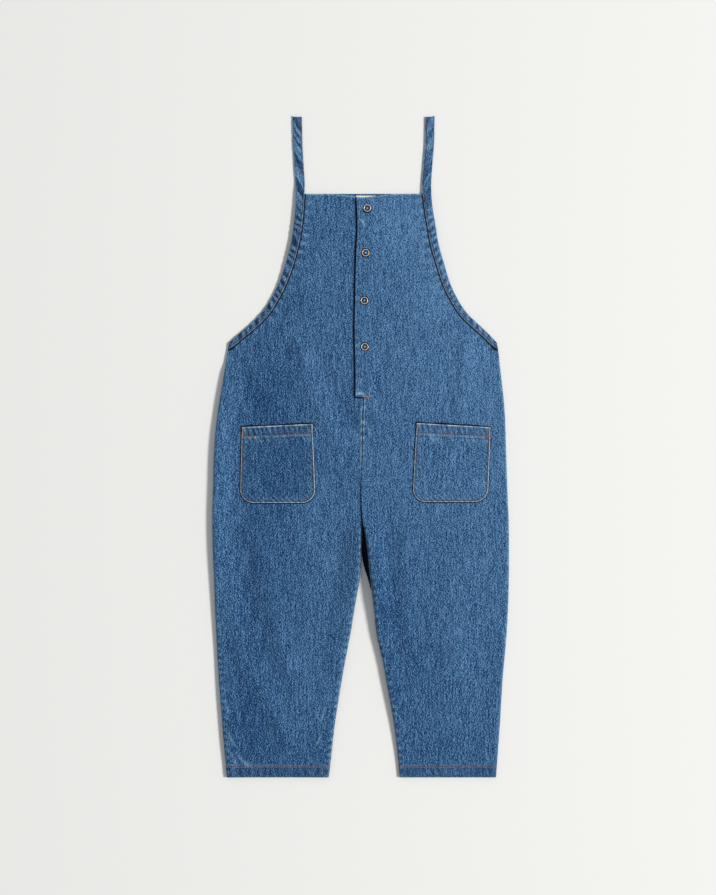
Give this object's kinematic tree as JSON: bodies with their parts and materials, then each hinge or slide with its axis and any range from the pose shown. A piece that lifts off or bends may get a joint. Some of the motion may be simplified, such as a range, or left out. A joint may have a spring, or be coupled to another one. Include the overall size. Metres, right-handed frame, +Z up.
{
  "type": "denim jumpsuit",
  "caption": "Sleeveless child's dungaree-style jumpsuit in mid-blue denim, laid flat, with bound armholes that run on as narrow straps, a snap placket and round patch pockets",
  "frame": {"origin": "centre of the garment's bounding box in plan, on the surface that it lies on", "axes": "+X to the wearer's left, +Y from the hems to the straps, +Z up out of the front"},
  "size_m": [0.3854, 0.858, 0.008],
  "materials": {
    "denim": "matt washed twill, mid blue with paler ridges at the seams",
    "snap_copper": "satin copper-coloured ring",
    "label_cotton": "matt cream cotton tape"
  },
  "bodies": {
    "root": {"front_right": "denim", "front_left": "denim", "back_right": "denim", "back_left": "denim", "binding_right": "denim", "binding_left": "denim", "pocket_right": "denim", "pocket_left": "denim", "snap_1": "snap_copper", "snap_2": "snap_copper", "snap_3": "snap_copper", "snap_4": "snap_copper", "label": "label_cotton"}
  },
  "joints": []
}
